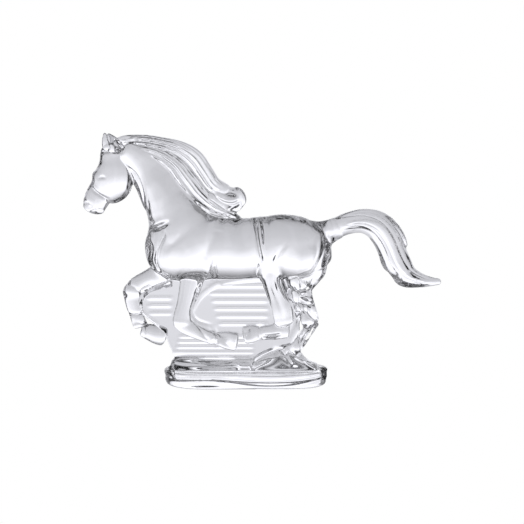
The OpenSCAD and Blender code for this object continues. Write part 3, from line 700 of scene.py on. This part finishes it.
def make_piece(name, place, quads, seam, normals, materials):
    """One closed piece. Its skin has the smooth normals of the whole casting, its seams lie flat."""
    used, local = np.unique(quads, return_inverse=True)
    local = local.reshape(quads.shape)
    mesh = bpy.data.meshes.new(name)
    mesh.vertices.add(len(used))
    mesh.vertices.foreach_set("co", (place[used] * MM).astype(np.float32).ravel())
    mesh.loops.add(local.size)
    mesh.loops.foreach_set("vertex_index", local.ravel().astype(np.int32))
    mesh.polygons.add(len(local))
    mesh.polygons.foreach_set("loop_start", np.arange(0, local.size, 4, dtype=np.int32))
    mesh.polygons.foreach_set("material_index", seam.astype(np.int32))
    for material in materials:
        mesh.materials.append(material)
    mesh.update(calc_edges=True)
    mesh.polygons.foreach_set("use_smooth", np.ones(len(local), bool))
    corner = normals[quads.ravel()]
    flat = np.repeat(face_normals(place, quads), 4, axis=0)
    corner = np.where(np.repeat(seam, 4)[:, None], flat, corner)
    mesh.normals_split_custom_set(corner.astype(np.float32))
    obj = bpy.data.objects.new(name, mesh)
    bpy.context.scene.collection.objects.link(obj)
    return obj


# ---- Finishes

def crystal(name, settings, ripple_scale, ripple):
    """Clear lead crystal with the faint ripple that the fire polish leaves."""
    mat = bpy.data.materials.new(name)
    mat.use_nodes = True
    nodes, links = mat.node_tree.nodes, mat.node_tree.links
    shader = nodes["Principled BSDF"]
    shader.inputs["Transmission Weight"].default_value = 1.0
    shader.inputs["IOR"].default_value = settings.ior
    shader.inputs["Roughness"].default_value = 0.0
    coord = nodes.new("ShaderNodeTexCoord")
    noise = nodes.new("ShaderNodeTexNoise")
    noise.inputs["Scale"].default_value = ripple_scale
    noise.inputs["Detail"].default_value = 2.0
    bump = nodes.new("ShaderNodeBump")
    bump.inputs["Strength"].default_value = ripple
    bump.inputs["Distance"].default_value = 0.001
    haze = nodes.new("ShaderNodeTexNoise")
    haze.inputs["Scale"].default_value = 40.0
    ramp = nodes.new("ShaderNodeValToRGB")
    ramp.color_ramp.elements[0].color = [c * 0.985 for c in settings.tint[:3]] + [1.0]
    ramp.color_ramp.elements[1].color = settings.tint
    links.new(coord.outputs["Object"], noise.inputs["Vector"])
    links.new(coord.outputs["Object"], haze.inputs["Vector"])
    links.new(noise.outputs["Fac"], bump.inputs["Height"])
    links.new(bump.outputs["Normal"], shader.inputs["Normal"])
    links.new(haze.outputs["Fac"], ramp.inputs["Fac"])
    links.new(ramp.outputs["Color"], shader.inputs["Base Color"])
    return mat


def seam_finish():
    """The face where two masses are fused: light passes straight through it."""
    mat = bpy.data.materials.new(SEAM)
    mat.use_nodes = True
    shader = mat.node_tree.nodes["Principled BSDF"]
    shader.inputs["Alpha"].default_value = 0.0
    shader.inputs["Specular IOR Level"].default_value = 0.0
    return mat


# ---- The studio

FLOOR_SIDE = 6.0
FLOOR_GAP = 0.0002
SENSOR = 36.0


def seen_or_met(nodes, links, seen, met, out):
    """What the camera sees straight on, and what the light meets that has been through the glass."""
    path = nodes.new("ShaderNodeLightPath")
    mix = nodes.new("ShaderNodeMixShader")
    links.new(path.outputs["Is Camera Ray"], mix.inputs["Fac"])
    links.new(met.outputs[0], mix.inputs[1])
    links.new(seen.outputs[0], mix.inputs[2])
    links.new(mix.outputs["Shader"], out.inputs["Surface"])


def paper_finish(settings):
    """Plain white paper that throws no light of its own into the glass."""
    paper = bpy.data.materials.new("studio_paper")
    paper.use_nodes = True
    nodes, links = paper.node_tree.nodes, paper.node_tree.links
    nodes.clear()
    out = nodes.new("ShaderNodeOutputMaterial")
    seen = nodes.new("ShaderNodeEmission")
    seen.inputs["Color"].default_value = settings.paper
    seen_or_met(nodes, links, seen, nodes.new("ShaderNodeBsdfTransparent"), out)
    return paper


def bands(nodes, links, source, stops):
    """A ramp of cool greys over a value from 0 to 1, each stop a (place, brightness)."""
    ramp = nodes.new("ShaderNodeValToRGB")
    for place, _ in stops[1:-1]:
        ramp.color_ramp.elements.new(place)
    for element, (place, value) in zip(ramp.color_ramp.elements, stops):
        element.position = place
        element.color = (value * 0.984, value * 0.985, value, 1.0)
    links.new(source, ramp.inputs["Fac"])
    return ramp.outputs["Color"]


def mixed(nodes, links, way, first, second):
    """Two colours of light taken together, multiplied or the lighter of the two."""
    mix = nodes.new("ShaderNodeMix")
    mix.data_type = "RGBA"
    mix.blend_type = way
    mix.inputs["Factor"].default_value = 1.0
    links.new(first, mix.inputs["A"])
    links.new(second, mix.inputs["B"])
    return mix.outputs["Result"]


def half_range(nodes, links, source):
    """A direction from -1 to 1 taken to 0 to 1."""
    span = nodes.new("ShaderNodeMapRange")
    span.inputs["From Min"].default_value = -1.0
    span.inputs["From Max"].default_value = 1.0
    links.new(source, span.inputs["Value"])
    return span.outputs["Result"]


def studio_light(settings):
    """White to the eye. To the glass, a room that is light behind the horse, grey overhead and dark to
    both sides, with a dark ceiling behind the viewer that has an opening in the middle and at each end."""
    world = bpy.data.worlds.new("studio_world")
    world.use_nodes = True
    nodes, links = world.node_tree.nodes, world.node_tree.links
    nodes.clear()
    out = nodes.new("ShaderNodeOutputWorld")
    coord = nodes.new("ShaderNodeTexCoord")
    split = nodes.new("ShaderNodeSeparateXYZ")
    links.new(coord.outputs["Generated"], split.inputs["Vector"])
    height = half_range(nodes, links, split.outputs["Z"])
    depth = half_range(nodes, links, split.outputs["Y"])
    sideways = nodes.new("ShaderNodeMath")
    sideways.operation = "ABSOLUTE"
    links.new(split.outputs["X"], sideways.inputs[0])
    across = sideways.outputs[0]
    rise = bands(nodes, links, height, [
        (0.0, 0.42), (0.2, 0.55), (0.34, 0.62), (0.44, 0.72), (0.5, 0.92), (0.57, 1.15), (0.68, 1.15),
        (0.8, 0.6), (0.92, 0.26), (1.0, 0.5)])
    turn = bands(nodes, links, across, [
        (0.0, 1.0), (0.66, 1.0), (0.74, 0.8), (0.8, 0.04), (0.945, 0.04), (0.98, 0.8), (1.0, 1.0)])
    front = bands(nodes, links, depth, [(0.0, 0.25), (0.16, 0.35), (0.32, 0.8), (0.44, 1.05), (1.0, 1.08)])
    ceiling = bands(nodes, links, height, [(0.0, 1.0), (0.5, 1.0), (0.54, 0.0), (1.0, 0.0)])
    doors = bands(nodes, links, across, [
        (0.0, 1.0), (0.08, 1.0), (0.16, 0.0), (0.56, 0.0), (0.65, 1.0), (1.0, 1.0)])
    room = mixed(nodes, links, "LIGHTEN", front, mixed(nodes, links, "MULTIPLY", ceiling, doors))
    glow = mixed(nodes, links, "MULTIPLY", mixed(nodes, links, "MULTIPLY", rise, turn), room)
    met = nodes.new("ShaderNodeBackground")
    links.new(glow, met.inputs["Color"])
    seen = nodes.new("ShaderNodeBackground")
    seen.inputs["Color"].default_value = settings.paper
    seen_or_met(nodes, links, seen, met, out)
    return world


def add_camera(scene, settings):
    """The camera, level with the middle of the horse but for its small tilt."""
    data = bpy.data.cameras.new("studio_camera")
    data.sensor_width = SENSOR
    data.lens = SENSOR * settings.distance / settings.width
    data.clip_start = 0.01
    camera = bpy.data.objects.new("studio_camera", data)
    scene.collection.objects.link(camera)
    middle = Vector((0.0088, 0.0, CAD_BOX[1][2] * 0.489))
    tilt = settings.elevation
    away = Vector((0.0, -np.cos(tilt), np.sin(tilt)))
    camera.location = middle + away * settings.distance
    camera.rotation_euler = (-away).to_track_quat("-Z", "Y").to_euler()
    scene.camera = camera
    scene.view_settings.view_transform = "Standard"
    scene.cycles.max_bounces = 32
    scene.cycles.transmission_bounces = 32
    scene.cycles.transparent_max_bounces = 64


# ---- The steps

MASSES = []  # the masses shaped so far, waiting to be cast


class MakeBody(bpy.types.Operator):
    """Shape the trunk and the hindquarters"""
    bl_idname = "crystal_horse.body"
    bl_label = "Body"

    def execute(self, context):
        MASSES.extend(body_masses())
        return {"FINISHED"}


class MakeHead(bpy.types.Operator):
    """Shape the neck, head, muzzle, ears and forelock"""
    bl_idname = "crystal_horse.head"
    bl_label = "Head and neck"

    def execute(self, context):
        MASSES.extend(head_masses())
        return {"FINISHED"}


class MakeMane(bpy.types.Operator):
    """Shape the locks of the mane"""
    bl_idname = "crystal_horse.mane"
    bl_label = "Mane"

    def execute(self, context):
        MASSES.extend(mane_masses(context.scene.crystal_horse.strand_depth))
        return {"FINISHED"}


class MakeTail(bpy.types.Operator):
    """Shape the tail"""
    bl_idname = "crystal_horse.tail"
    bl_label = "Tail"

    def execute(self, context):
        MASSES.extend(tail_masses(context.scene.crystal_horse.strand_depth))
        return {"FINISHED"}


class MakeLegs(bpy.types.Operator):
    """Shape the four legs and their hooves"""
    bl_idname = "crystal_horse.legs"
    bl_label = "Legs"

    def execute(self, context):
        MASSES.extend(leg_masses())
        return {"FINISHED"}


class CastGlass(bpy.types.Operator):
    """Fuse the masses with the web, the ground and the base, and keep one closed piece for each"""
    bl_idname = "crystal_horse.cast"
    bl_label = "Cast the glass"

    def execute(self, context):
        if not MASSES:
            raise RuntimeError("shape the masses before they are cast")
        settings = context.scene.crystal_horse
        cast = Casting(settings.cell)
        for m in MASSES:
            cast.sweep(m)
        MASSES.clear()
        add_web(cast, settings.rib_height)
        add_ground(cast)
        add_base(cast)
        for line in LINES:
            cast.cut(*line)
        place, quads, pairs, outer = skin_of(cast, settings.smoothing)
        out_of_low = pairs[:, 0] > 0
        turned = quads[:, ::-1]
        skin = np.where(out_of_low[:, None], quads, turned)[outer]
        normals = point_normals(place, skin)
        finishes = {
            "thick_crystal": crystal("thick_crystal", settings, 90.0, settings.ripple),
            "thin_crystal": crystal("thin_crystal", settings, 160.0, settings.ripple * 1.5),
            "foot_crystal": crystal("foot_crystal", settings, 120.0, settings.ripple),
        }
        seam = seam_finish()
        slots = {s["node"]: s["material_slot"] for s in frame["record"]["subparts"]}
        for mark, name in enumerate(cast.names, start=1):
            first, second = pairs[:, 0] == mark, pairs[:, 1] == mark
            faces = np.vstack([quads[first], turned[second]])
            seams = np.concatenate([~outer[first], ~outer[second]])
            if not len(faces):
                raise RuntimeError(f"{name} has no glass of its own")
            slot = slots[name]
            obj = make_piece(name + "_glass", place, faces, seams, normals, [finishes[slot], seam])
            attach(obj, "root")
            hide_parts(name)
        return {"FINISHED"}


class MakeStudio(bpy.types.Operator):
    """Set up the floor, the light and the camera"""
    bl_idname = "crystal_horse.studio"
    bl_label = "Studio"

    def execute(self, context):
        settings = context.scene.crystal_studio
        bpy.ops.mesh.primitive_plane_add(size=FLOOR_SIDE, location=(0, 0, -FLOOR_GAP))
        floor = context.object
        floor.name = "studio_floor"
        floor.data.materials.append(paper_finish(settings))
        context.scene.world = studio_light(settings)
        add_camera(context.scene, settings)
        return {"FINISHED"}


class HorsePanel(bpy.types.Panel):
    """The figurine's sizes and the steps that make it"""
    bl_idname = "VIEW3D_PT_crystal_horse"
    bl_label = "Crystal horse"
    bl_space_type = "VIEW_3D"
    bl_region_type = "UI"
    bl_category = "Crystal horse"

    def draw(self, context):
        for group in (context.scene.crystal_horse, context.scene.crystal_studio):
            for name in group.__annotations__:
                self.layout.prop(group, name)
        for step in STEPS:
            self.layout.operator(step.bl_idname)


STEPS = (MakeBody, MakeHead, MakeMane, MakeTail, MakeLegs, CastGlass, MakeStudio)
CLASSES = (HorseSettings, StudioSettings, *STEPS, HorsePanel)


def register():
    for cls in CLASSES:
        bpy.utils.register_class(cls)
    bpy.types.Scene.crystal_horse = PointerProperty(type=HorseSettings)
    bpy.types.Scene.crystal_studio = PointerProperty(type=StudioSettings)


def unregister():
    del bpy.types.Scene.crystal_horse
    del bpy.types.Scene.crystal_studio
    for cls in reversed(CLASSES):
        bpy.utils.unregister_class(cls)


def main():
    register()
    for step in STEPS:
        group, name = step.bl_idname.split(".")
        getattr(getattr(bpy.ops, group), name)()


if __name__ == "__main__":
    main()
